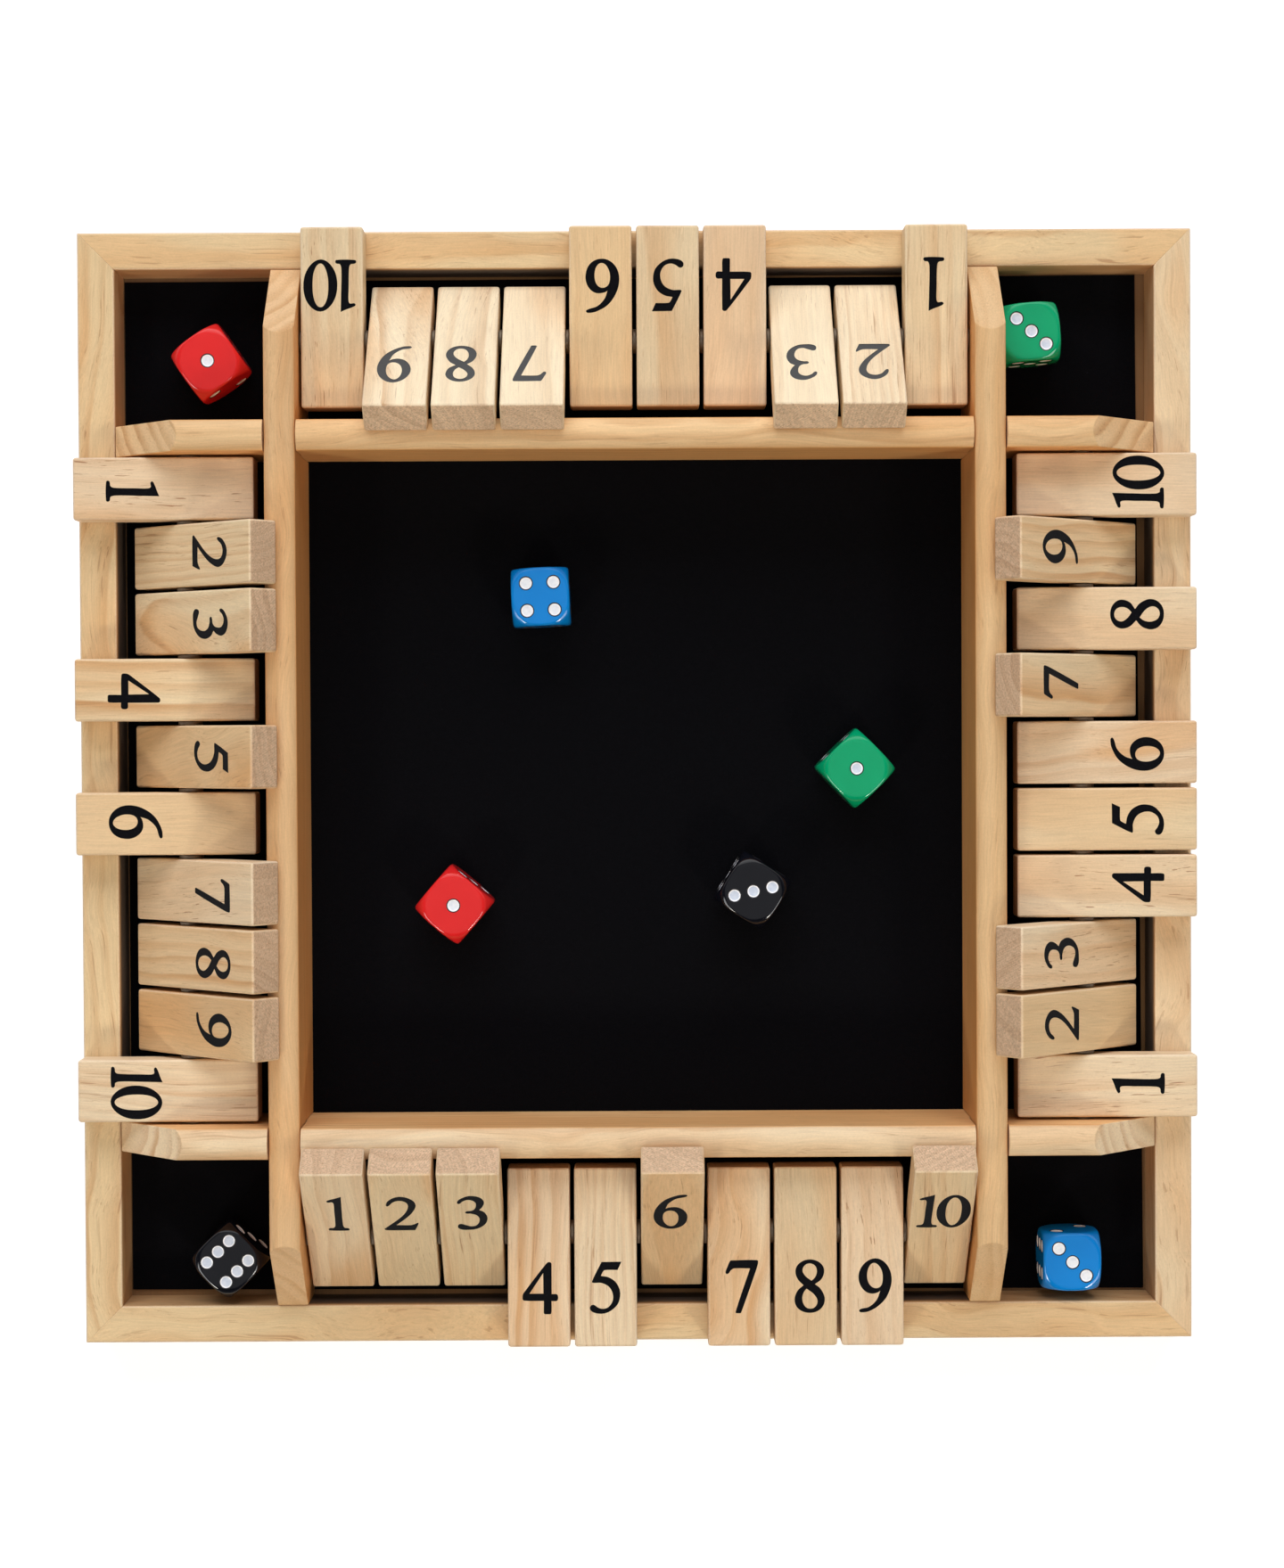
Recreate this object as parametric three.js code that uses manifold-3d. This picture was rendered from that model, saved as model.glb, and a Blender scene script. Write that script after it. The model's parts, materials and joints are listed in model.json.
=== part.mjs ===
// Four-player shut the box: a square pine board, four banks of flip tiles on steel rods, and eight dice.
// Lengths are in millimetres, +Z is up, and the origin is the middle of the underside.
import * as THREE from 'three';
import { mergeVertices } from 'three/addons/utils/BufferGeometryUtils.js';
import Module from 'manifold-3d';

const wasm = await Module();
wasm.setup();

// Tiles
const tilesPerBank = 10;
const tileWidth = 16.95;
const tileGap = 1.2;
const tileLength = 48.9;
const tileThickness = 9.4;
const tileEase = 0.5;
const tileEndRadius = 0.9;
const longArmShare = 0.628;

// Rods and the sockets that hold them
const rodDiameter = 3;
const rodChamfer = 0.4;
const socketFloor = 3.4;

// Board
const frameWall = 10.2;
const rimRadius = 0.8;
const rebateWidth = 5;
const mitreGrooveDepth = 0.35;
const baseThickness = 3;
const feltThickness = 0.5;

// Dividers
const dividerWidth = 8.4;
const dividerHeight = 34;
const crownRise = 2;
const bevelRun = 19.5;
const bevelEndRise = 1.2;
const halvingShare = 0.5;

// Clearances
const seatGap = 0.3;
const boreClearance = 0.4;
const endPlay = 0.75;
const swingClearance = 0.4;
const wallClearance = 2;
const dividerClearance = 3.3;
const cutOverrun = 1;

// Dice
const dieSize = 16;
const dieRoundShare = 0.75;
const pipDiameterShare = 0.225;
const pipDepthShare = 0.035;
const pipPitchShare = 0.235;
const sixPitchShare = 0.265;

// Facets
const boreSides = 12;
const rodSides = 14;
const crownSteps = 8;
const edgeSteps = 2;
const pipSides = 8;
const dieRings = 16;

// Sizes that follow: the tile
const longArm = tileLength * longArmShare;
const shortArm = tileLength - longArm;
const shortSwing = Math.hypot(shortArm, tileThickness / 2);
const boreRadius = rodDiameter / 2 + boreClearance;

// Sizes that follow: plan of the board, from the middle outwards
const tilePitch = tileWidth + tileGap;
const bankLength = tilesPerBank * tilePitch - tileGap;
const trayHalf = bankLength / 2 + endPlay;
const dividerFromMiddle = trayHalf + dividerWidth / 2;
const rodFromMiddle = trayHalf + dividerWidth + dividerClearance + shortSwing;
const innerHalf = rodFromMiddle + shortSwing + wallClearance;
const boardHalf = innerHalf + frameWall;
const pocketHalf = (innerHalf - trayHalf - dividerWidth) / 2;
const pocketFromMiddle = innerHalf - pocketHalf;

// Sizes that follow: heights
const shelfHeight = baseThickness + seatGap;
const feltTop = shelfHeight + feltThickness;
const rodHeight = feltTop + swingClearance + shortSwing;
const rimHeight = rodHeight - tileThickness / 2 - seatGap;
const dividerFoot = feltTop + seatGap;
const crownHeight = dividerFoot + dividerHeight;

// The crown of a divider is an arc, and a shut tile lies against it a seat's gap away.
const crownRadius = (dividerWidth ** 2 / 4 + crownRise ** 2) / (2 * crownRise);
const leanReach = rodFromMiddle - dividerFromMiddle;
const leanRise = crownHeight - crownRadius - rodHeight;
const leanOffset = tileThickness / 2 + seatGap + crownRadius;
const leanAngle = Math.atan2(leanRise, leanReach) + Math.asin(leanOffset / Math.hypot(leanReach, leanRise));
const shutTurn = Math.PI - leanAngle;

const quarterTurn = Math.PI / 2;

// Materials
const framePine = wood(0xdcba88, 0.55);
const dividerPine = wood(0xe1b176, 0.5);
const tilePine = wood(0xe4c7a2, 0.55);
const basePly = wood(0xcfae80, 0.7);
const felt = new THREE.MeshStandardMaterial({ color: 0x0b0b0d, roughness: 0.95, metalness: 0 });
const steel = new THREE.MeshStandardMaterial({ color: 0xc9c9c9, roughness: 0.25, metalness: 1 });
const dieColours = { red: 0xe0332a, green: 0x169a5c, blue: 0x1769c4, black: 0x1d1d20 };

function wood(color, roughness) {
  return new THREE.MeshStandardMaterial({ color, roughness, metalness: 0 });
}

const game = new THREE.Group();

function addPiece(name, geometry, material, parent = game) {
  const piece = new THREE.Mesh(geometry, material);
  piece.name = name;
  parent.add(piece);
  return piece;
}

// Booleans work on solids whose corners are shared.
function toSolid(geometry) {
  const bare = geometry.clone();
  bare.deleteAttribute('normal');
  bare.deleteAttribute('uv');
  const shared = mergeVertices(bare);
  return new wasm.Manifold(new wasm.Mesh({
    numProp: 3,
    vertProperties: new Float32Array(shared.attributes.position.array),
    triVerts: new Uint32Array(shared.index.array),
  }));
}

function toGeometry(solid) {
  const { vertProperties, triVerts } = solid.getMesh();
  const geometry = new THREE.BufferGeometry();
  geometry.setAttribute('position', new THREE.BufferAttribute(vertProperties, 3));
  geometry.setIndex(new THREE.BufferAttribute(triVerts, 1));
  geometry.computeVertexNormals();
  return geometry;
}

// Points of an arc in a plane, both ends included.
function arcPoints(x, y, radius, from, to, steps) {
  return Array.from({ length: steps + 1 }, (_, i) => {
    const angle = from + (to - from) * i / steps;
    return new THREE.Vector2(x + radius * Math.cos(angle), y + radius * Math.sin(angle));
  });
}

function circlePoints(radius, sides) {
  return arcPoints(0, 0, radius, 0, 2 * Math.PI, sides).slice(0, sides);
}

// A block given by its lowest and highest corners.
function block(low, high) {
  const size = high.map((value, axis) => value - low[axis]);
  const middle = high.map((value, axis) => (value + low[axis]) / 2);
  return new THREE.BoxGeometry(...size).translate(...middle);
}

// Frame: one wall's section carried round four mitred corners, which is a lathe of four turns.
// A lathe's radius reaches the corners, so the section is widened by the root of two.
function frameSection() {
  const eased = (x, y, from) => arcPoints(x, y, rimRadius, from, from + quarterTurn, edgeSteps);
  return [
    new THREE.Vector2(innerHalf + rebateWidth, 0),
    new THREE.Vector2(boardHalf, 0),
    ...eased(boardHalf - rimRadius, rimHeight - rimRadius, 0),
    ...eased(innerHalf + rimRadius, rimHeight - rimRadius, quarterTurn),
    new THREE.Vector2(innerHalf, shelfHeight),
    new THREE.Vector2(innerHalf + rebateWidth, shelfHeight),
    new THREE.Vector2(innerHalf + rebateWidth, 0),
  ];
}

// The glue line of a mitre is a fine V along the diagonal of the rim, cut by a square bar on its edge.
function mitreGroove(corner) {
  const barLength = Math.SQRT2 * (frameWall + 2 * cutOverrun);
  const fromMiddle = Math.SQRT2 * (innerHalf + boardHalf) / 2;
  return new THREE.CylinderGeometry(mitreGrooveDepth, mitreGrooveDepth, barLength, 4)
    .rotateX(quarterTurn)
    .translate(0, fromMiddle, rimHeight)
    .rotateZ((corner + 1 / 2) * quarterTurn);
}

function frameGeometry() {
  const ring = new THREE.LatheGeometry(frameSection(), 4)
    .rotateX(quarterTurn)
    .rotateZ(quarterTurn / 2)
    .scale(Math.SQRT2, Math.SQRT2, 1);
  let solid = toSolid(ring);
  for (let corner = 0; corner < 4; corner += 1) {
    solid = solid.subtract(toSolid(mitreGroove(corner)));
  }
  return toGeometry(solid);
}

// Divider: a bar with an arched crown, its ends cut down on a flat bevel nearly to the rim.
// It runs along X here, at its own height, in the middle of the board.
function dividerBar() {
  const halfArc = Math.asin(dividerWidth / 2 / crownRadius);
  const arcMiddle = crownHeight - crownRadius;
  const section = new THREE.Shape([
    new THREE.Vector2(-dividerWidth / 2, dividerFoot),
    new THREE.Vector2(dividerWidth / 2, dividerFoot),
    ...arcPoints(0, arcMiddle, crownRadius, quarterTurn - halfArc, quarterTurn + halfArc, crownSteps),
  ]);
  const length = 2 * (innerHalf - seatGap);
  return new THREE.ExtrudeGeometry(section, { depth: length, bevelEnabled: false })
    .translate(0, 0, -length / 2)
    .rotateX(quarterTurn)
    .rotateZ(quarterTurn);
}

function bevelOutline() {
  const end = innerHalf - seatGap;
  const side = dividerWidth / 2 + cutOverrun;
  const outline = new THREE.Shape([
    new THREE.Vector2(-end - cutOverrun, dividerFoot - cutOverrun),
    new THREE.Vector2(end + cutOverrun, dividerFoot - cutOverrun),
    new THREE.Vector2(end + cutOverrun, rimHeight + bevelEndRise),
    new THREE.Vector2(end, rimHeight + bevelEndRise),
    new THREE.Vector2(end - bevelRun, crownHeight),
    new THREE.Vector2(end - bevelRun, crownHeight + cutOverrun),
    new THREE.Vector2(bevelRun - end, crownHeight + cutOverrun),
    new THREE.Vector2(bevelRun - end, crownHeight),
    new THREE.Vector2(-end, rimHeight + bevelEndRise),
    new THREE.Vector2(-end - cutOverrun, rimHeight + bevelEndRise),
  ]);
  return new THREE.ExtrudeGeometry(outline, { depth: 2 * side, bevelEnabled: false })
    .translate(0, 0, -side)
    .rotateX(quarterTurn);
}

// The blind hole for a rod's end, in the face that looks at the middle of the board.
function rodSocket(side) {
  const depth = dividerWidth - socketFloor;
  const length = depth + cutOverrun;
  return new THREE.CylinderGeometry(rodDiameter / 2 + seatGap, rodDiameter / 2 + seatGap, length, boreSides)
    .translate(side * rodFromMiddle, dividerWidth / 2 - depth + length / 2, rodHeight);
}

// Where two dividers cross, each gives up half its height: one from below and the other from above.
function dividerGeometry(cutFromBelow) {
  const halvingHeight = dividerFoot + dividerHeight * halvingShare;
  const halfNotch = dividerWidth / 2 + seatGap;
  const low = cutFromBelow ? dividerFoot - cutOverrun : halvingHeight - seatGap / 2;
  const high = cutFromBelow ? halvingHeight + seatGap / 2 : crownHeight + cutOverrun;
  let solid = toSolid(dividerBar()).intersect(toSolid(bevelOutline()));
  for (const side of [-1, 1]) {
    const middle = side * dividerFromMiddle;
    const across = dividerWidth / 2 + cutOverrun;
    const notch = block([middle - halfNotch, -across, low], [middle + halfNotch, across, high]);
    solid = solid.subtract(toSolid(notch)).subtract(toSolid(rodSocket(side)));
  }
  return toGeometry(solid);
}

// Rod: a steel pin as long as a bank, both ends chamfered for their sockets.
function rodGeometry() {
  const half = trayHalf + dividerWidth - socketFloor - seatGap;
  const radius = rodDiameter / 2;
  const profile = [
    new THREE.Vector2(0, -half),
    new THREE.Vector2(radius - rodChamfer, -half),
    new THREE.Vector2(radius, rodChamfer - half),
    new THREE.Vector2(radius, half - rodChamfer),
    new THREE.Vector2(radius - rodChamfer, half),
    new THREE.Vector2(0, half),
  ];
  return new THREE.LatheGeometry(profile, rodSides).rotateZ(-quarterTurn);
}

// Tile: its side outline with the off-centre bore, extruded across its width with eased edges.
// The bore's axis is the origin, the long arm points to -Y and the broad faces look up and down.
function tileGeometry() {
  const half = tileThickness / 2;
  const inset = half - tileEndRadius;
  const corner = (x, y, from) => arcPoints(x, y, tileEndRadius, from, from + quarterTurn, edgeSteps);
  const outline = new THREE.Shape([
    ...corner(longArm - tileEndRadius, -inset, -quarterTurn),
    ...corner(longArm - tileEndRadius, inset, 0),
    ...corner(tileEndRadius - shortArm, inset, quarterTurn),
    ...corner(tileEndRadius - shortArm, -inset, 2 * quarterTurn),
  ]);
  outline.holes.push(new THREE.Path(circlePoints(boreRadius, boreSides)));
  const along = new THREE.Vector3(0, -1, 0);
  const up = new THREE.Vector3(0, 0, 1);
  const across = new THREE.Vector3(-1, 0, 0);
  return new THREE.ExtrudeGeometry(outline, {
    depth: tileWidth - 2 * tileEase,
    bevelThickness: tileEase,
    bevelSize: tileEase,
    bevelOffset: -tileEase,
    bevelSegments: 1,
  })
    .translate(0, 0, tileEase - tileWidth / 2)
    .applyMatrix4(new THREE.Matrix4().makeBasis(along, up, across));
}

// Die: a cube whose corners are rounded by a sphere, with a dimple for each pip.
// Pips are set out in steps of the pitch, on faces given by the way they look.
function pipsOf(value) {
  const pitch = dieSize * pipPitchShare;
  const longPitch = dieSize * sixPitchShare;
  const diagonal = [[-pitch, pitch], [pitch, -pitch]];
  const corners = [...diagonal, [pitch, pitch], [-pitch, -pitch]];
  const rows = [-longPitch, 0, longPitch].flatMap((x) => [[x, -pitch], [x, pitch]]);
  return {
    1: [[0, 0]],
    2: diagonal,
    3: [[0, 0], ...diagonal],
    4: corners,
    5: [[0, 0], ...corners],
    6: rows,
  }[value];
}

// Opposite faces add up to seven, and 1, 2 and 3 run anticlockwise round their shared corner.
const dieFaces = {
  1: new THREE.Euler(0, quarterTurn, 0),
  2: new THREE.Euler(-quarterTurn, 0, quarterTurn),
  3: new THREE.Euler(0, 0, 0),
  4: new THREE.Euler(2 * quarterTurn, 0, 0),
  5: new THREE.Euler(quarterTurn, 0, 0),
  6: new THREE.Euler(0, -quarterTurn, 0),
};

function dieGeometry() {
  const round = new THREE.SphereGeometry(dieSize * dieRoundShare, dieRings * 2, dieRings);
  let solid = toSolid(new THREE.BoxGeometry(dieSize, dieSize, dieSize)).intersect(toSolid(round));
  const pipRadius = dieSize * pipDiameterShare / 2;
  const pipDepth = dieSize * pipDepthShare;
  const coneRadius = pipRadius * (pipDepth + cutOverrun) / pipDepth;
  for (const [value, turn] of Object.entries(dieFaces)) {
    for (const [x, y] of pipsOf(value)) {
      const pip = new THREE.ConeGeometry(coneRadius, pipDepth + cutOverrun, pipSides)
        .rotateX(-quarterTurn)
        .translate(x, y, dieSize / 2 + (cutOverrun - pipDepth) / 2)
        .applyMatrix4(new THREE.Matrix4().makeRotationFromEuler(turn));
      solid = solid.subtract(toSolid(pip));
    }
  }
  return toGeometry(solid);
}

// The board
addPiece('outer_frame', frameGeometry(), framePine);
const baseHalf = innerHalf + rebateWidth - seatGap;
addPiece('base_panel', block([-baseHalf, -baseHalf, 0], [baseHalf, baseHalf, baseThickness]), basePly);
const feltHalf = innerHalf - seatGap;
addPiece('felt_lining', block([-feltHalf, -feltHalf, shelfHeight], [feltHalf, feltHalf, feltTop]), felt);

// The four sides, each the front one turned about the middle
const sides = [
  { name: 'front', turn: 0, open: [4, 5, 7, 8, 9] },
  { name: 'right', turn: quarterTurn, open: [1, 4, 5, 6, 8, 10] },
  { name: 'back', turn: 2 * quarterTurn, open: [1, 4, 5, 6, 10] },
  { name: 'left', turn: -quarterTurn, open: [1, 4, 6, 10] },
];
const frontBackDivider = dividerGeometry(false);
const leftRightDivider = dividerGeometry(true);
const rod = rodGeometry();
const tile = tileGeometry();

for (const side of sides) {
  const station = new THREE.Group();
  station.rotation.z = side.turn;
  game.add(station);

  const divider = side.turn % Math.PI === 0 ? frontBackDivider : leftRightDivider;
  const bar = addPiece(`${side.name}_divider`, divider, dividerPine, station);
  bar.position.y = -dividerFromMiddle;

  const pin = addPiece(`${side.name}_rod`, rod, steel, station);
  pin.position.set(0, -rodFromMiddle, rodHeight);

  for (let number = 1; number <= tilesPerBank; number += 1) {
    const flap = addPiece(`${side.name}_tile_${number}`, tile, tilePine, station);
    flap.position.set((number - (tilesPerBank + 1) / 2) * tilePitch, -rodFromMiddle, rodHeight);
    flap.rotation.x = side.open.includes(number) ? 0 : -shutTurn;
  }
}

// The dice, one pair of each colour: four in the corner pockets and four in the tray.
// Each lies at a share of the room it has, with one face up, turned by a yaw in degrees.
const rolls = {
  1: new THREE.Euler(0, -quarterTurn, 0),
  3: new THREE.Euler(0, 0, 0),
  4: new THREE.Euler(2 * quarterTurn, 0, 0),
  6: new THREE.Euler(0, quarterTurn, 0),
};
const pockets = {
  back_left: [-pocketFromMiddle, pocketFromMiddle],
  back_right: [pocketFromMiddle, pocketFromMiddle],
  front_left: [-pocketFromMiddle, -pocketFromMiddle],
  front_right: [pocketFromMiddle, -pocketFromMiddle],
};
const dice = [
  { name: 'red_die_pocket', pocket: 'back_left', roomShares: [0.42, -0.36], up: 1, yaw: -145.2 },
  { name: 'green_die_pocket', pocket: 'back_right', roomShares: [-0.98, 0.27], up: 3, yaw: 4.5 },
  { name: 'black_die_pocket', pocket: 'front_left', roomShares: [0.79, -0.91], up: 6, yaw: 44 },
  { name: 'blue_die_pocket', pocket: 'front_right', roomShares: [-0.12, -0.79], up: 3, yaw: 0 },
  { name: 'blue_die_tray', roomShares: [-0.317, 0.637], up: 4, yaw: -177.5 },
  { name: 'green_die_tray', roomShares: [0.761, 0.062], up: 1, yaw: 134 },
  { name: 'red_die_tray', roomShares: [-0.635, -0.405], up: 1, yaw: -130.7 },
  { name: 'black_die_tray', roomShares: [0.401, -0.36], up: 3, yaw: -122.9 },
];
const die = dieGeometry();

for (const { name, pocket, roomShares, up, yaw } of dice) {
  const turn = THREE.MathUtils.degToRad(yaw);
  const reach = dieSize / 2 * (Math.abs(Math.cos(turn)) + Math.abs(Math.sin(turn)));
  const room = (pocket ? pocketHalf : trayHalf) - seatGap - reach;
  const [middleX, middleY] = pocket ? pockets[pocket] : [0, 0];
  const colour = dieColours[name.split('_')[0]];
  const plastic = new THREE.MeshStandardMaterial({ color: colour, roughness: 0.2, metalness: 0 });
  const cube = addPiece(name, die, plastic);
  cube.rotation.copy(rolls[up]);
  cube.rotateOnWorldAxis(new THREE.Vector3(0, 0, 1), turn);
  cube.position.set(
    middleX + room * roomShares[0],
    middleY + room * roomShares[1],
    feltTop + seatGap + dieSize / 2,
  );
}

export default game;
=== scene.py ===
"""A shut the box board for four players: forty pine tiles that tip on steel rods, pine dividers and frame,
a felt floor and eight dice. Sizes are in metres, with the origin under the middle of the board."""

import json
import math
import random

import bmesh
import bpy
from mathutils import Euler, Matrix, Vector


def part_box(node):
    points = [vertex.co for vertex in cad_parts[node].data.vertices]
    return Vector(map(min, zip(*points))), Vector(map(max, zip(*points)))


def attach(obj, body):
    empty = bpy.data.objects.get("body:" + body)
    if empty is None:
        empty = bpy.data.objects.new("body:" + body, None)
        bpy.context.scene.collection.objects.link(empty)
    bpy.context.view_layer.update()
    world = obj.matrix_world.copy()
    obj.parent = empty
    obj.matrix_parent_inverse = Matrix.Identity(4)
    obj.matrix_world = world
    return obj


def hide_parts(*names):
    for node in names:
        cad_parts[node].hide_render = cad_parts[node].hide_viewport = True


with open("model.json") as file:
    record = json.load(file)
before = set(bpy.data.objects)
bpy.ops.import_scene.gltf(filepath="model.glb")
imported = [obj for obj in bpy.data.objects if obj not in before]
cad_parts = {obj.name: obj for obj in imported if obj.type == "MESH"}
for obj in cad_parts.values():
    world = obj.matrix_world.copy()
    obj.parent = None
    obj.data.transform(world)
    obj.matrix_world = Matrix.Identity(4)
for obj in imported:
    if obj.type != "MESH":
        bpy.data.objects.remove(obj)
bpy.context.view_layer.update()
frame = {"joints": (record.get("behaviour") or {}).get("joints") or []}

MM = 0.001
QUARTER = math.pi / 2

# Places read from the frame. The left bank's first tile lies open, so its length runs along X.
felt_low, felt_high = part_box("felt_lining")
base_low, base_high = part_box("base_panel")
frame_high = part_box("outer_frame")[1]
rod_low, rod_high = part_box("front_rod")
divider_low, divider_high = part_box("front_divider")
first_low, first_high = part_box("left_tile_1")
next_tile_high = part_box("left_tile_2")[1]
joints = {joint["name"]: joint for joint in frame["joints"]}

ROD_FROM_MIDDLE = -(rod_low.y + rod_high.y) / 2
ROD_HEIGHT = (rod_low.z + rod_high.z) / 2
DIVIDER_FROM_MIDDLE = -(divider_low.y + divider_high.y) / 2
DIVIDER_WIDTH = divider_high.y - divider_low.y
RIM_HEIGHT = frame_high.z
BOARD_HALF = frame_high.x
FIT_GAP = 0.3 * MM
INNER_HALF = divider_high.x + FIT_GAP

# The board's sides, and how far each is turned from the front
SIDES = {"front": 0, "right": QUARTER, "back": 2 * QUARTER, "left": -QUARTER}

# Tiles
TILES_PER_BANK = 10
TILE_WIDTH = first_high.y - first_low.y
TILE_LENGTH = first_high.x - first_low.x
TILE_THICKNESS = first_high.z - first_low.z
TILE_LONG_ARM = -ROD_FROM_MIDDLE - first_low.x
TILE_PITCH = first_high.y - next_tile_high.y
TILE_EASE = 0.75 * MM
TILE_BORE = 3.8 * MM

# Frame
FRAME_EASE = 0.8 * MM
MITRE_EASE = 0.12 * MM
REBATE_WIDTH = 5 * MM
REBATE_HEIGHT = base_high.z + FIT_GAP

# Dividers
CROWN_RISE = 2 * MM
BEVEL_RUN = 19.5 * MM
BEVEL_END_RISE = 1.2 * MM
DIVIDER_EASE = 0.35 * MM
SOCKET_RADIUS = 1.8 * MM
SOCKET_DEPTH = 5 * MM

# Rods and washers
ROD_RADIUS = 1.5 * MM
ROD_CHAMFER = 0.4 * MM
WASHER_RADIUS = 3.3 * MM
WASHER_HOLE = 1.65 * MM
WASHER_THICKNESS = 0.85 * MM
END_WASHER_THICKNESS = 0.5 * MM
WASHER_EASE = 0.12 * MM

# Base and felt
PANEL_EASE = 0.25 * MM
FELT_EASE = 0.12 * MM

# Dice
DIE_SIZE = 16 * MM
DIE_ROUND_SHARE = 0.722
DIE_EASE = 0.8 * MM
DIE_CUTS = 30
HALVINGS = 24
PIP_DIAMETER = 3.3 * MM
PIP_DEPTH = 0.42 * MM
PIP_RIM = 0.3 * MM
PIP_RIM_DEPTH = 0.14 * MM
PIP_PITCH_SHARE = 0.235
SIX_PITCH_SHARE = 0.265

# Numerals, and how far their feet stand from the rod on a tile's top and underside
NUMERAL_DEPTH = 0.1 * MM
OPEN_FOOT = 21.6 * MM
SHUT_FOOT = 7.15 * MM

# How far the hand-cut felt stops short of the walls at each corner, round the board from the front left
FELT_SHORT = {
    (-1, -1): (0, 1.4 * MM),
    (1, -1): (0.4 * MM, 0.4 * MM),
    (1, 1): (2.4 * MM, 0),
    (-1, 1): (0, 0.8 * MM),
}

# How far a cutter reaches past what it cuts, and how close two points are when they count as one
BEYOND = 2 * MM
SAME_POINT = 0.001 * MM

# How many flat sides a round thing has
ROUND_SIDES = 48
CROWN_SIDES = 128
HOLE_SIDES = 24
BORE_SIDES = 32
RIM_SIDES = 40
DISH_SIDES = 32


# Modelling by hand: selecting, cutting and finishing

def only(obj):
    """Makes obj the one selected and active object."""
    bpy.ops.object.select_all(action="DESELECT")
    obj.select_set(True)
    bpy.context.view_layer.objects.active = obj
    return obj


def settle(obj):
    """Puts an object's place, turn and scale into its mesh."""
    only(obj)
    bpy.ops.object.transform_apply(location=True, rotation=True, scale=True)
    return obj


def block(low, high):
    low, high = Vector(low), Vector(high)
    bpy.ops.mesh.primitive_cube_add(size=1, location=(low + high) / 2, scale=high - low)
    return settle(bpy.context.object)


def bar(radius, start, end, sides=ROUND_SIDES):
    start, end = Vector(start), Vector(end)
    along = end - start
    turn = along.to_track_quat("Z", "Y").to_euler()
    bpy.ops.mesh.primitive_cylinder_add(
        vertices=sides, radius=radius, depth=along.length, location=(start + end) / 2, rotation=turn
    )
    return settle(bpy.context.object)


def choose(obj, kind, test):
    """Opens edit mode with only the faces or edges that pass the test selected."""
    only(obj)
    bpy.ops.object.mode_set(mode="EDIT")
    bpy.ops.mesh.select_mode(type=kind)
    bpy.ops.mesh.select_all(action="DESELECT")
    mesh = bmesh.from_edit_mesh(obj.data)
    mesh.normal_update()
    for part in mesh.faces if kind == "FACE" else mesh.edges:
        part.select_set(test(part))
    bmesh.update_edit_mesh(obj.data)


def done():
    bpy.ops.object.mode_set(mode="OBJECT")


def slice_off(obj, point, normal):
    """Saws off what lies beyond a plane, on the side its normal points to, and closes the cut."""
    choose(obj, "FACE", lambda face: True)
    bpy.ops.mesh.bisect(plane_co=point, plane_no=normal, use_fill=True, clear_outer=True)
    done()
    return obj


def modify(obj, kind, **settings):
    only(obj)
    modifier = obj.modifiers.new(kind.title(), kind)
    for key, value in settings.items():
        setattr(modifier, key, value)
    bpy.ops.object.modifier_apply(modifier=modifier.name)
    return obj


def ease(obj, width, segments=3, angle=30):
    """Rounds every edge that is sharper than the angle, in degrees."""
    return modify(
        obj, "BEVEL", width=width, segments=segments, limit_method="ANGLE", angle_limit=math.radians(angle)
    )


def cut(obj, cutter, operation="DIFFERENCE"):
    """Cuts with another solid, whose material stays on the cut faces, and deletes it."""
    modify(obj, "BOOLEAN", object=cutter, operation=operation, solver="MANIFOLD", material_mode="TRANSFER")
    bpy.data.objects.remove(cutter)
    return obj


def join(parts):
    """Makes several objects one, with the first one's name."""
    bpy.ops.object.select_all(action="DESELECT")
    for part in parts:
        part.select_set(True)
    bpy.context.view_layer.objects.active = parts[0]
    bpy.ops.object.join()
    return parts[0]


def smooth(obj, angle=30):
    """Shades curved faces smooth, and keeps the flats beside them flat."""
    only(obj)
    bpy.ops.object.shade_smooth_by_angle(angle=math.radians(angle))
    return modify(obj, "WEIGHTED_NORMAL", weight=50, keep_sharp=True)


def copy_of(obj, place):
    """A copy with its own mesh, carried to its place by a matrix."""
    twin = obj.copy()
    twin.data = obj.data.copy()
    bpy.context.scene.collection.objects.link(twin)
    twin.data.transform(place)
    return twin


def hand_over(obj, name, body, node, materials):
    """Names a finished piece, paints it and lets it stand for its CAD node."""
    obj.name = name
    obj.data.name = name
    for index, material in enumerate(materials):
        if index < len(obj.data.materials):
            obj.data.materials[index] = material
        else:
            obj.data.materials.append(material)
    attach(obj, body)
    if node:
        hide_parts(node)
    return obj


# Shader maths

class Number:
    """A shader socket that can be used in sums."""

    def __init__(self, paint, socket):
        self.paint = paint
        self.socket = socket

    def math(self, operation, *others):
        values = dict(enumerate([self, *others]))
        return self.paint.node("ShaderNodeMath", {"operation": operation}, values)

    def __add__(self, other):
        return self.math("ADD", other)

    def __sub__(self, other):
        return self.math("SUBTRACT", other)

    def __mul__(self, other):
        return self.math("MULTIPLY", other)

    def __truediv__(self, other):
        return self.math("DIVIDE", other)

    def __rsub__(self, other):
        return self.paint.node("ShaderNodeMath", {"operation": "SUBTRACT"}, {0: other, 1: self})

    __radd__ = __add__
    __rmul__ = __mul__


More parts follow.
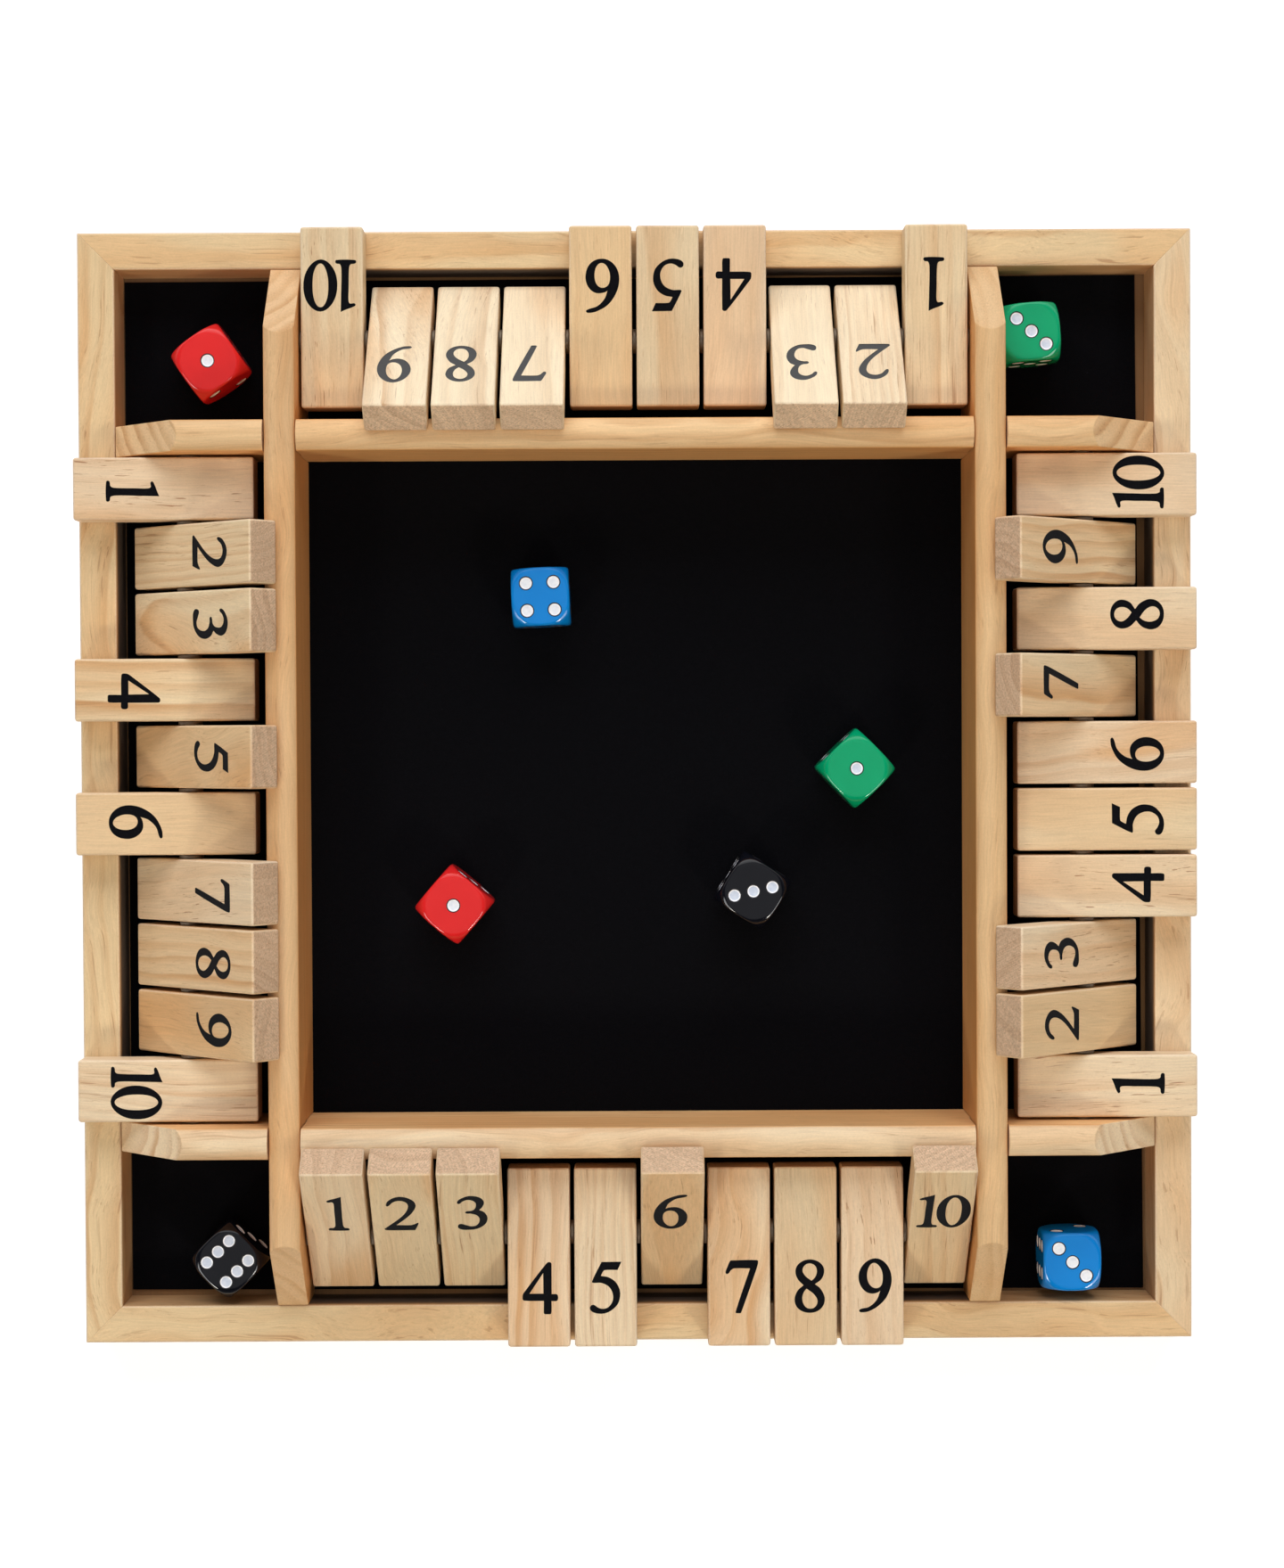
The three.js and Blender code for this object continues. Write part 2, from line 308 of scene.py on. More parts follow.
class Paint:
    """The nodes of a material, or of the world."""

    def __init__(self, owner):
        self.owner = owner
        self.owner.use_nodes = True
        self.tree = self.owner.node_tree
        self.tree.nodes.clear()

    def node(self, kind, settings=None, values=None, out=0):
        """Adds a node and gives back one of its outputs, if it has any.
        settings are its own properties, and values are what its sockets hold or are linked to."""
        node = self.tree.nodes.new(kind)
        for key, value in (settings or {}).items():
            setattr(node, key, value)
        for key, value in (values or {}).items():
            if isinstance(value, Number):
                self.tree.links.new(value.socket, node.inputs[key])
            else:
                node.inputs[key].default_value = value
        return Number(self, node.outputs[out]) if node.outputs else None

    def outputs(self, number):
        """All the outputs of the node that a number comes from."""
        return {socket.name: Number(self, socket) for socket in number.socket.node.outputs}

    def local(self, centre, turn):
        """Millimetres from a piece's centre, along its own axes: X across, Y with the grain, Z through it."""
        place = self.node("ShaderNodeTexCoord", out=3)
        settings = {"vector_type": "TEXTURE"}
        values = {"Vector": place, "Location": centre, "Rotation": turn.to_euler(), "Scale": (MM, MM, MM)}
        return self.node("ShaderNodeMapping", settings, values)

    def facing(self, turn):
        """The surface's normal along a piece's own axes."""
        normal = self.node("ShaderNodeTexCoord", out=1)
        values = {"Vector": normal, "Rotation": turn.to_euler()}
        return self.node("ShaderNodeMapping", {"vector_type": "TEXTURE"}, values)

    def shift(self, vector, offset):
        return self.node("ShaderNodeVectorMath", {"operation": "ADD"}, {0: vector, 1: offset})

    def towards(self, vector, way):
        """How nearly a unit vector points one way, 1 where it does."""
        return self.node("ShaderNodeVectorMath", {"operation": "DOT_PRODUCT"}, {0: vector, 1: way}, out=1)

    def vector(self, x, y, z):
        return self.node("ShaderNodeCombineXYZ", {}, {0: x, 1: y, 2: z})

    def noise(self, vector, stretch, detail=2.0, roughness=0.5):
        """Noise from 0 to 1, with stretch giving how many cells there are to a millimetre each way."""
        scaled = self.node("ShaderNodeVectorMath", {"operation": "MULTIPLY"}, {0: vector, 1: stretch})
        values = {"Vector": scaled, "Scale": 1.0, "Detail": detail, "Roughness": roughness}
        return self.node("ShaderNodeTexNoise", {}, values)

    def step(self, value, low, high):
        """0 below low, 1 above high, and a soft step between."""
        values = {"Value": value, "From Min": low, "From Max": high}
        return self.node("ShaderNodeMapRange", {"interpolation_type": "SMOOTHSTEP"}, values)

    def mix(self, factor, first, second, blend="MIX"):
        """The first colour where the factor is 0, and the second, blended with it, where it is 1."""
        settings = {"data_type": "RGBA", "blend_type": blend}
        return self.node("ShaderNodeMix", settings, {0: factor, 6: first, 7: second}, out=2)

    def grey(self, value):
        """A number as a grey colour."""
        return self.node("ShaderNodeCombineColor", {}, {0: value, 1: value, 2: value})

    def split(self, vector):
        """A vector's three numbers."""
        return list(self.outputs(self.node("ShaderNodeSeparateXYZ", {}, {0: vector})).values())

    def seen_plainly(self):
        """Whether a ray comes from the camera, from a mirror-like surface or through glass."""
        kinds = self.outputs(self.node("ShaderNodeLightPath"))
        return kinds["Is Camera Ray"], kinds["Is Glossy Ray"], kinds["Is Transmission Ray"]

    def finish(self, colour, roughness, height=None, relief=0.05 * MM, **sockets):
        """Ends the material in a Principled shader and returns it."""
        values = {"Base Color": colour, "Roughness": roughness}
        if height is not None:
            values["Normal"] = self.node("ShaderNodeBump", {}, {"Height": height, "Distance": relief})
        values.update({key.replace("_", " "): value for key, value in sockets.items()})
        shader = self.node("ShaderNodeBsdfPrincipled", {}, values)
        self.node("ShaderNodeOutputMaterial", {}, {"Surface": shader})
        return self.owner


def new_paint(name):
    return Paint(bpy.data.materials.new(name))


def tint(red, green, blue):
    """A screen colour, 0 to 255, as the linear colour that a shader takes."""
    def linear(value):
        share = value / 255
        return share / 12.92 if share <= 0.04045 else ((share + 0.055) / 1.055) ** 2.4
    return (linear(red), linear(green), linear(blue), 1.0)


# Wood: the colours of its early wood, its growth rings and its marks, and the painted light and shade laid on
# it

CREAM_PINE = tint(253, 231, 193)
PALE_PINE = tint(238, 213, 176)
PINK_PINE = tint(236, 207, 170)
YELLOW_PINE = tint(235, 209, 167)
TAN_PINE = tint(231, 196, 148)
GREY_PINE = tint(229, 204, 164)
WARM_PATCH = tint(224, 166, 104)
# Painted shade: colours that multiply the side faces of the dividers and the frame, darkening and warming
# them as if in shade
DIVIDER_SIDE_SHADE = tint(255, 228, 194)
FRAME_SIDE_SHADE = tint(228, 210, 196)
LATE_WOOD = tint(196, 138, 80)
# Painted light and shade: the end grain is paler on the back bank and darker on the left and right banks, to
# follow how the light falls on each
END_GRAINS = dict.fromkeys(SIDES, tint(212, 180, 147)) | {
    "front": tint(222, 189, 154),
    "back": tint(233, 202, 168),
}
# Painted shade: a tile's end past the rod, and the foot of the frame's wall between the dividers, darkened
# where shade falls
SHADED_END = tint(138, 108, 80)
SHADED_WALL = tint(86, 75, 68)
END_LATE = tint(172, 128, 92)
RESIN = tint(150, 90, 48)
# Pale edge colour: partly abrasion of the eased edges, partly a painted highlight along them
EDGE_ABRASION_AND_HIGHLIGHT = tint(255, 240, 216)
# Painted light: the right side's paler pine makes up for the light falling off towards the right
FRAME_PINES = dict.fromkeys(SIDES, tint(232, 202, 155)) | {"right": tint(237, 209, 168)}
DIVIDER_PINES = {
    "front": tint(243, 216, 176),
    "right": tint(228, 189, 139),
    "back": tint(240, 201, 150),
    "left": tint(228, 187, 138),
}
PLY_FACE = tint(134, 100, 66)

# Figures of the wood: millimetres between growth rings, how dark those are, how many flecks and resin lines
# there are, how far the grain runs off over its length and how far it bends, and how warm its patches are
FIGURES = {
    "plain": (6.5, 0.28, 0.3, 0.2, 0.03, 10, 0.35),
    "banded": (3.6, 0.8, 0.4, 0.6, 0.03, 8, 0.4),
    "lined": (2.4, 0.4, 0.45, 1.2, 0.03, 7, 0.2),
    "flecked": (4.8, 0.35, 0.9, 0.4, 0.05, 12, 0.4),
    "swirl": (4.4, 0.75, 0.5, 0.5, 0.14, 36, 0.6),
    "two_tone": (5.5, 0.45, 0.5, 0.4, 0.08, 20, 0.65),
    "frame": (5.5, 0.5, 0.45, 0.9, 0.02, 30, 0.4),
    "divider": (3.8, 0.45, 0.35, 0.5, 0.01, 16, 0.4),
}

# In millimetres, with a pair for where a painted shade begins and where it is full
SAW_PITCH = 0.6
WALL_SHADE_HALF = (90, 98)
WALL_SHADE_TOP = (5.5, 9)
END_SHADE_FROM = (0, 4)


def pine(
    name, seed, body_colour, figure, centre, turn,
    edge_abrasion_and_highlight=0.35, side_shade=None, end_grain=END_GRAINS["front"], shaded_end=False, shaded_wall=False,
):
    """Planed pine. Growth rings lie round a pith beside the piece, and fibres, resin flecks and lines follow
    them. The arguments after turn give how pale the eased edges are, partly as abrasion and partly as a
    painted highlight; a colour that paints shade on the sides; the end grain's colour; painted shade on the
    end past the rod; and painted shade on the foot of the frame's wall between the dividers."""
    ring_width, contrast, flecks, lines, slope, wander, patches = FIGURES[figure]
    chance = random.Random(seed)
    paint = new_paint(name)
    here = paint.local(centre, turn)
    facing = paint.split(paint.facing(turn))
    facing_x, facing_y, facing_z = (part.math("ABSOLUTE") for part in facing)
    offset = [chance.uniform(-500, 500) for axis in range(3)]
    there = paint.shift(here, offset)
    x, y, z = paint.split(here)

    bend = paint.noise(there, (0.022, 0.015, 0.022), 2.0) - 0.5
    across = x + y * chance.uniform(-slope, slope) + bend * wander
    through = z + y * chance.uniform(-slope, slope) - bend * (0.6 * wander)
    grain = paint.shift(paint.vector(across, y, through), offset)

    angle = chance.uniform(0, 2 * math.pi)
    pith = chance.uniform(14, 48)
    from_pith_x = across + math.cos(angle) * pith
    from_pith_z = through + math.sin(angle) * pith
    radius = (from_pith_x * from_pith_x + from_pith_z * from_pith_z).math("SQRT")
    ripple = paint.noise(grain, (0.16, 0.03, 0.16), 2.0) - 0.5
    season = paint.noise(paint.vector(radius, 0.0, 0.0), (0.13, 1, 1), 1.0) - 0.5
    turns = radius / ring_width + season * 1.4 + ripple * 0.5 + offset[0]
    ring = turns.math("FRACT")
    year = paint.node("ShaderNodeTexWhiteNoise", {"noise_dimensions": "1D"}, {"W": turns.math("FLOOR")})
    late = paint.step(ring, 0.2, 0.84) * (1 - paint.step(ring, 0.84, 1.0)) * (0.35 + year * 0.65)

    mottle = paint.noise(grain, (0.05, 0.02, 0.05), 2.0)
    fibre = paint.noise(grain, (2.3, 0.08, 2.3), 4.0, 0.66)
    tooth = paint.noise(there, (2.6, 1.6, 2.6), 3.0, 0.7)
    strong = paint.step(paint.noise(grain, (0.05, 0.016, 0.05), 2.0), 0.36, 0.64)
    cluster = paint.step(paint.noise(grain, (0.11, 0.045, 0.11), 1.0), 0.4, 0.6)
    dash = paint.step(paint.noise(grain, (2.3, 0.12, 2.3), 2.0), 0.635, 0.7) * (0.1 + cluster * 0.9)
    tick = paint.step(paint.noise(grain, (3.4, 0.4, 3.4), 1.0), 0.68, 0.76) * 0.35
    line = paint.step(paint.noise(grain, (1.2, 0.028, 1.2), 2.0), 0.62, 0.68) * (0.25 + late * 0.75)
    patch = paint.step(paint.noise(grain, (0.05, 0.012, 0.05), 1.0), 0.46, 0.6)

    slanted = paint.step(facing_y, 0.3, 0.6) * 0.7
    wood = paint.mix(late * (0.45 + strong * 0.55) * contrast * (1 + slanted), body_colour, LATE_WOOD)
    wood = paint.mix(patch * (0.75 * patches), wood, WARM_PATCH)
    value = 0.95 + (mottle - 0.5) * 0.2 + (fibre - 0.5) * 0.42 + (tooth - 0.5) * 0.2
    wood = paint.mix(1.0, wood, paint.grey(value), "MULTIPLY")
    fleck = (dash + tick).math("MINIMUM", 1.0) * (0.8 * flecks)
    wood = paint.mix(line * (0.6 * lines), wood, RESIN)
    wood = paint.mix(fleck, wood, RESIN)

    # Pales the eased edges: partly abrasion, partly a painted highlight
    if edge_abrasion_and_highlight:
        flat = facing_x.math("MAXIMUM", facing_y).math("MAXIMUM", facing_z)
        abrasion_and_highlight_mask = (1 - paint.step(flat, 0.86, 0.985)) * (0.6 + (tooth - 0.5) * 1.5) * edge_abrasion_and_highlight
        wood = paint.mix(abrasion_and_highlight_mask, wood, EDGE_ABRASION_AND_HIGHLIGHT)

    # Painted shade on the side faces
    if side_shade:
        shaded_sides = paint.mix(1.0, wood, side_shade, "MULTIPLY")
        wood = paint.mix(paint.step(facing_x, 0.6, 0.95), wood, shaded_sides)

    # Painted shade on the foot of the frame's inner wall between the dividers, where the tiles shade it
    if shaded_wall:
        between_dividers = 1 - paint.step(y.math("ABSOLUTE"), *WALL_SHADE_HALF)
        foot = paint.step(facing[0], 0.6, 0.95) * (1 - paint.step(z, *WALL_SHADE_TOP)) * between_dividers
        wood = paint.mix(foot * (0.92 + (fibre - 0.5) * 0.3), wood, SHADED_WALL)

    end = paint.step(facing_y, 0.8, 0.95)
    narrow = (turns * 3.0).math("FRACT")
    narrow = paint.step(narrow, 0.2, 0.8) * (1 - paint.step(narrow, 0.8, 1.0))
    speckle = paint.noise(there, (1.8, 1.8, 1.8), 3.0, 0.8)
    vessel = paint.step(paint.noise(there, (1.7, 1.7, 1.7), 1.0), 0.62, 0.72) * 0.45
    saw_turn = chance.uniform(0.3, 1.2) * chance.choice([-1, 1])
    saw_line = (x * math.cos(saw_turn) + z * math.sin(saw_turn)) * (2 * math.pi / SAW_PITCH)
    sawn = saw_line.math("SINE") * paint.step(mottle, 0.4, 0.6)
    end_value = 0.98 + (speckle - 0.5) * 1.3 + (mottle - 0.5) * 0.3 + sawn * 0.06
    # Painted shade on the end grain past the rod, where it sits in shade
    if shaded_end:
        end_grain = paint.mix(paint.step(y, *END_SHADE_FROM) * 0.85, end_grain, SHADED_END)
    end_colour = paint.mix(late * (0.1 + 0.32 * contrast) + narrow * 0.12, end_grain, END_LATE)
    end_colour = paint.mix(1.0, end_colour, paint.grey(end_value), "MULTIPLY")
    end_colour = paint.mix(vessel, end_colour, END_LATE)
    colour = paint.mix(end, wood, end_colour)

    roughness = 0.48 + (tooth - 0.5) * 0.25 + end * 0.2
    height = fibre * 0.6 + late * 0.15 - fleck * 0.3 + speckle * end * 1.8
    return paint.finish(colour, roughness, height, 0.05 * MM, Specular_IOR_Level=0.35)


def plywood(name):
    """The thin base: a rotary-cut veneer with broad, wandering figure."""
    paint = new_paint(name)
    here = paint.local((0, 0, 0), Matrix.Identity(3))
    drift = paint.noise(here, (0.012, 0.004, 0.02), 3.0)
    x, y, z = paint.split(here)
    figure = ((x * 0.05 + drift * 9).math("SINE") + 1) * 0.5
    fibre = paint.noise(here, (1.8, 0.04, 1.8), 4.0, 0.65)
    fleck = paint.step(paint.noise(here, (0.8, 0.05, 0.8), 1.0), 0.7, 0.78)
    wood = paint.mix(figure * 0.35, PLY_FACE, LATE_WOOD)
    wood = paint.mix(1.0, wood, paint.grey(0.95 + (fibre - 0.5) * 0.3), "MULTIPLY")
    wood = paint.mix(fleck * 0.5, wood, RESIN)
    return paint.finish(wood, 0.62 + (fibre - 0.5) * 0.2, fibre, 0.04 * MM, Specular_IOR_Level=0.3)


def ink(name, gloss):
    """The black of a pressed numeral, thin enough for the wood's tooth to show in specks."""
    paint = new_paint(name)
    here = paint.local((0, 0, 0), Matrix.Identity(3))
    tooth = paint.noise(here, (3.5, 3.5, 3.5), 3.0, 0.7)
    speck = paint.step(tooth, 0.58, 0.72)
    colour = paint.mix(speck * 0.5, tint(9, 9, 12), tint(46, 47, 52))
    return paint.finish(colour, 0.38 + (tooth - 0.5) * 0.25, tooth, 0.035 * MM, Specular_IOR_Level=gloss)


def felt():
    """Short black felt: matted fibres that catch a little light."""
    paint = new_paint("felt_black")
    here = paint.local((0, 0, 0), Matrix.Identity(3))
    nap = paint.noise(here, (2.2, 2.2, 2.2), 4.0, 0.75)
    lint = paint.step(paint.noise(here, (0.9, 0.9, 0.9), 3.0, 0.8), 0.72, 0.8)
    cloud = paint.noise(here, (0.02, 0.02, 0.02), 2.0)
    colour = paint.mix(nap, tint(5, 5, 6), tint(17, 17, 20))
    colour = paint.mix((cloud - 0.3) * 0.4, colour, tint(8, 8, 11))
    colour = paint.mix(lint * 0.3, colour, tint(60, 60, 66))
    return paint.finish(colour, 0.95, nap, 0.25 * MM, Specular_IOR_Level=0.04)


def steel(name, dark, bright, roughness):
    """Drawn or stamped steel: fine scratches, and a grey film of handling."""
    paint = new_paint(name)
    here = paint.local((0, 0, 0), Matrix.Identity(3))
    drawn = paint.noise(here, (0.5, 0.5, 6.0), 3.0, 0.6)
    colour = paint.mix(drawn, dark, bright)
    return paint.finish(colour, roughness + drawn * 0.2, drawn, 0.01 * MM, Metallic=1.0)


def plastic(name, colour, deep):
    """Moulded, tumbled plastic: a deep gloss with the faintest waviness and handling marks."""
    paint = new_paint(name)
    here = paint.local((0, 0, 0), Matrix.Identity(3))
    cloud = paint.noise(here, (0.12, 0.12, 0.12), 2.0)
    scuff = paint.noise(here, (1.4, 1.4, 1.4), 4.0, 0.7)
    shade = paint.mix(cloud, colour, deep)
    return paint.finish(shade, 0.07 + paint.step(scuff, 0.5, 0.75) * 0.1, scuff, 0.003 * MM, IOR=1.5)


def pip_paint(name, turn, centre_shade):
    """White paint in a die's dimples, with painted shade that greys the bottom of each."""
    paint = new_paint(name)
    here = paint.local((0, 0, 0), Matrix.Identity(3))
    cloud = paint.noise(here, (0.9, 0.9, 0.9), 3.0, 0.6)
    facing = [part.math("ABSOLUTE") for part in paint.split(paint.facing(turn))]
    flat = facing[0].math("MAXIMUM", facing[1]).math("MAXIMUM", facing[2])
    # Painted shade that greys the middle of each dish
    grey = paint.step(flat, 0.95, 0.992) * (centre_shade + (cloud - 0.5) * 1.0)
    colour = paint.mix(grey, tint(254, 254, 255), tint(204, 213, 228))
    return paint.finish(colour, 0.3 + (cloud - 0.5) * 0.2, cloud, 0.01 * MM)


INK = ink("numeral_ink", 0.08)
# A glossier copy of the ink, only for the back bank's shut numerals: a painted sheen where they face the back
# light
BACK_SHEEN_INK = ink("numeral_ink_back_sheen", 0.7)
# A dark material for the step round each pip: painted shade at the pip's wall
PIP_RIM_SHADE = plastic("pip_rim_shade", tint(26, 26, 30), tint(48, 46, 48))

# Stand-ins that mark faces until a piece gets its own wood or paint
BARE_PINE = bpy.data.materials.new("bare_pine")
BARE_PLASTIC = bpy.data.materials.new("bare_plastic")
PIP_WHITE = bpy.data.materials.new("pip_white")


# Numerals: closed outlines, the outer one first. Each point has its millimetres to the right of the tile's
# middle and up from the numeral's foot, and a letter where it is a corner (c) or where the outline runs level
# (h) or upright (v).
NUMERALS = {
    "1": ["2 14.2 c, 1.85 9, 1.75 2.6, 2.15 1.05, 3.1 0.85, 3.4 0.42 v, 3.1 0, -1.8 0.05, -2.1 0.45 v, "
          "-1.8 0.85, -0.6 1.1, -0.15 2.2, 0 8, 0.05 11.2, -0.35 12.1, -1.5 12.05, -1.85 12.4 v, "
          "-1.3 12.85, 0.9 13.7"],
    "2": ["-4.15 10.6 v, -3 12.95, -0.3 14.15 h, 2.6 12.95, 3.65 10.6 v, 2.6 7.6, 0.6 4.9, -2.1 2.05 c, "
          "2 2, 3.1 2.45, 3.95 3, 3.95 2.5, 3 0 c, -4.7 0.05, -5.1 0.45 v, -4.7 0.95, -1.5 4.2, 0.3 6.4, "
          "1.4 8.5, 1.75 10.4 v, 1.1 12, -0.6 12.6 h, -2.3 12, -3.45 10.6, -3.85 10.3 h"],
    "3": ["-3.2 11.5 v, -2.2 13.2, 0.5 14.35 h, 2.9 13.6, 3.85 11.6 v, 3.3 9.7, 2.4 8.45 c, 3.8 7.4, "
          "4.55 5 v, 3.4 1.8, 0 0.05 h, -2.3 0.1, -3.4 1.1 v, -3.2 2.1, -2.6 2.4 h, -1.4 1.95, 0.2 1.35 h, "
          "1.8 2, 2.6 4.4 v, 1.9 6.2, 0.2 7, -0.8 7, -1.15 7.4 v, -0.7 7.85, 0.5 8.05, 1.5 9, 1.85 10.9 v, "
          "1.2 12.3, -0.3 12.85 h, -1.8 12.2, -2.55 11.3, -2.9 11.15 h"],
    "4": ["2.2 13.8, 2.8 14.05 h, 3.35 13.6 v, 3.35 5.3 c, 4.8 5.25, 5.1 4.45 v, 4.8 3.65, 3.3 3.6 c, "
          "3.25 0.4, 2.9 0 h, 1.7 0 h, 1.35 0.4 v, 1.4 3.65 c, -4 3.75, -4.4 4.2 v, -4.3 5.3, -3.8 6.1",
          "1.3 5.45 c, -2.75 5.45 c, 1.2 11.3 c"],
    "5": ["-1.05 14 c, 4.15 14.05 c, 3.2 12 c, -0.3 11.95, -0.8 11.5, -1.45 10.25 c, 0.9 9.75, 2.9 8.2, "
          "3.85 5.4 v, 2.7 2, -1.2 0.05 h, -3.5 0.5, -4.25 1.5 v, -3.4 2.35 h, -2.2 1.6, -0.9 1.2 h, "
          "1.1 2, 2.1 4.4 v, 1.2 7.1, -1.1 8.45, -3.4 8.5, -3.65 8.8"],
    "6": ["3.4 14.4 h, 3.85 14 v, 3.3 13.6, 0.8 12.75, -1.2 10.7, -2 8.4 c, -1.2 8.85, 0.5 9.15 h, "
          "2.9 7.9, 3.95 4.9 v, 2.7 1.3, -0.5 0 h, -3.7 1.6, -5 5.3 v, -4.3 8.8, -2 12.2, 1.2 14.05",
          "-0.6 7.85 h, -2.2 7, -2.7 4.7 v, -1.9 2, -0.3 0.95 h, 1.2 2.1, 1.7 4.6 v, 1 7"],
    "7": ["-2.2 14.25 c, 4.8 14.3, 5.1 13.9, 4.6 11.9, 0.5 0.3, 0.2 0 h, -0.7 0 h, -0.9 0.35, 3.1 12.2 c, "
          "-1.2 12.25, -2.2 11.8, -2.9 10.9, -3.3 10.7 h, -3.6 11.1, -3.2 12.3, -2.45 14"],
    "8": ["1.1 14.4 h, 3.8 13.5, 4.9 11.4 v, 4.2 9.2, 2.3 7.75 c, 4 6.3, 5.05 3.6 v, 3.9 1, 1.1 0 h, "
          "-1.9 1, -3 3.5 v, -2.2 5.9, -0.5 7.45 c, -2.1 9.1, -2.75 11.2 v, -1.7 13.4",
          "1 13.5 h, 2.6 12.8, 3.1 11.2 v, 2.6 9.6, 1.55 8.55 c, -0.1 9.8, -1 11.5 v, -0.4 12.9",
          "0.15 6.65 c, 2.3 5, 3.25 3 v, 2.6 1.5, 1.2 0.95 h, -0.4 1.7, -1.1 3.9 v, -0.7 5.5"],
    "9": ["0.8 14.6 h, 3.9 12.8, 5.1 8.8 v, 4 4.7, 2 2.2, -0.9 0.4, -3.1 0.05 h, -3.6 0.45 v, -3.1 0.85, "
          "-1 1.35, 1.1 3.2, 2.2 5.95 c, 1.2 5.4, -0.1 5.15 h, -2.6 6.4, -3.75 9.6 v, -2.4 13",
          "0.4 13.55 h, 2.2 12.2, 2.85 9.6 v, 2.4 7.2, 0.9 6.45 h, -0.9 7.5, -1.6 10 v, -1 12.5"],
    "0": ["3.1 13.7 h, 6.4 11.5, 7.55 6.9 v, 6.2 2.1, 2.85 -0.15 h, -0.3 2.1, -1.45 6.6 v, -0.2 11.4",
          "3.05 12.75 h, 4.7 11, 5.25 6.9 v, 4.7 2.6, 2.95 0.75 h, 1.4 2.6, 0.8 6.6 v, 1.3 10.8"],
}
# The 1 of 10 stands to the left of the 0 and is a little shorter than the tile's own 1
TEN_ONE_SHIFT = -4.5
TEN_ONE_HEIGHT_SHARE = 0.97
INK_SPREAD = 0.1
SHARPEST_CORNER = 2
CURVE_STEPS = 5


def outline_points(words):
    """An outline's points as numbers and a kind, which is smooth (s) for a point without a letter."""
    points = [point.split() for point in words.split(", ")]
    return [(float(x), float(y), kind[0] if kind else "s") for x, y, *kind in points]


def bolder(outlines):
    """A figure's outlines with its strokes thickened all round by INK_SPREAD."""
    spread = []
    for order, points in enumerate(outlines):
        places = [Vector(point[:2]) for point in points]
        leftward = sum(places[index - 1].cross(place) for index, place in enumerate(places)) > 0
        outward = INK_SPREAD if leftward == (order == 0) else -INK_SPREAD
        moved = []
        for index, (x, y, kind) in enumerate(points):
            before = (places[index] - places[index - 1]).normalized()
            after = (places[(index + 1) % len(points)] - places[index]).normalized()
            along = before + after
            if kind == "h":
                along.y = 0
            if kind == "v":
                along.x = 0
            reach = min(1 / before.dot(along.normalized()), SHARPEST_CORNER) if kind == "c" else 1
            step = along.normalized() * outward * reach
            moved.append((x + step.y, y - step.x, kind))
        spread.append(moved)
    return spread


def outline_handles(points):
    """Each point's two Bezier handles, which make smooth stretches of a closed outline nearly elliptic."""
    places = [Vector(point[:2]) for point in points]
    headings = []
    for index, (x, y, kind) in enumerate(points):
        chord = places[(index + 1) % len(points)] - places[index - 1]
        if kind == "h":
            chord.y = 0
        if kind == "v":
            chord.x = 0
        headings.append(None if kind == "c" else chord.normalized())
    handles = []
    for index, place in enumerate(places):
        pair = []
        for step in (-1, 1):
            other = (index + step) % len(points)
            gap = places[other] - place
            mine = headings[index] * step if headings[index] else gap.normalized()
            theirs = headings[other] * step if headings[other] else gap.normalized()
            bend = mine.angle(theirs)
            share = 4 / 3 * math.tan(bend / 4) / math.sin(bend) if 0.01 < bend < 3 else 1 / 3
            pair.append(place + mine * max(gap.dot(mine), 0.2 * gap.length) * share)
        handles.append(pair)
    return handles


def numeral_stamp(number):
    """The raised letter that presses a number into wood, its foot on X and its face down at NUMERAL_DEPTH."""
    curve = bpy.data.curves.new("stamp", "CURVE")
    curve.dimensions = "2D"
    curve.fill_mode = "BOTH"
    curve.resolution_u = CURVE_STEPS
    curve.extrude = NUMERAL_DEPTH
    figures = [(str(number), 0, 1)]
    if number == 10:
        figures = [("1", TEN_ONE_SHIFT, TEN_ONE_HEIGHT_SHARE), ("0", 0, 1)]
    for figure, shift, height_share in figures:
        for points in bolder([outline_points(words) for words in NUMERALS[figure]]):
            spline = curve.splines.new("BEZIER")
            spline.bezier_points.add(len(points) - 1)
            spline.use_cyclic_u = True
            for knot, point, handles in zip(spline.bezier_points, points, outline_handles(points)):
                place, before, after = (
                    ((x + shift) * MM, y * height_share * MM, 0) for x, y in (point[:2], *handles)
                )
                knot.handle_left_type = knot.handle_right_type = "FREE"
                knot.co = place
                knot.handle_left = before
                knot.handle_right = after
    stamp = bpy.data.objects.new("stamp", curve)
    bpy.context.scene.collection.objects.link(stamp)
    only(stamp)
    bpy.ops.object.convert(target="MESH")
    stamp = bpy.context.object
    choose(stamp, "FACE", lambda face: True)
    bpy.ops.mesh.remove_doubles(threshold=SAME_POINT)
    bpy.ops.mesh.normals_make_consistent(inside=False)
    done()
    stamp.data.materials.clear()
    stamp.data.materials.append(INK)
    return stamp


# Tiles: the rod's axis is the origin, the long arm points to -Y and the broad faces look up and down

TONES = {
    "cream": CREAM_PINE,
    "pale": PALE_PINE,
    "pink": PINK_PINE,
    "yellow": YELLOW_PINE,
    "tan": TAN_PINE,
    "grey": GREY_PINE,
}
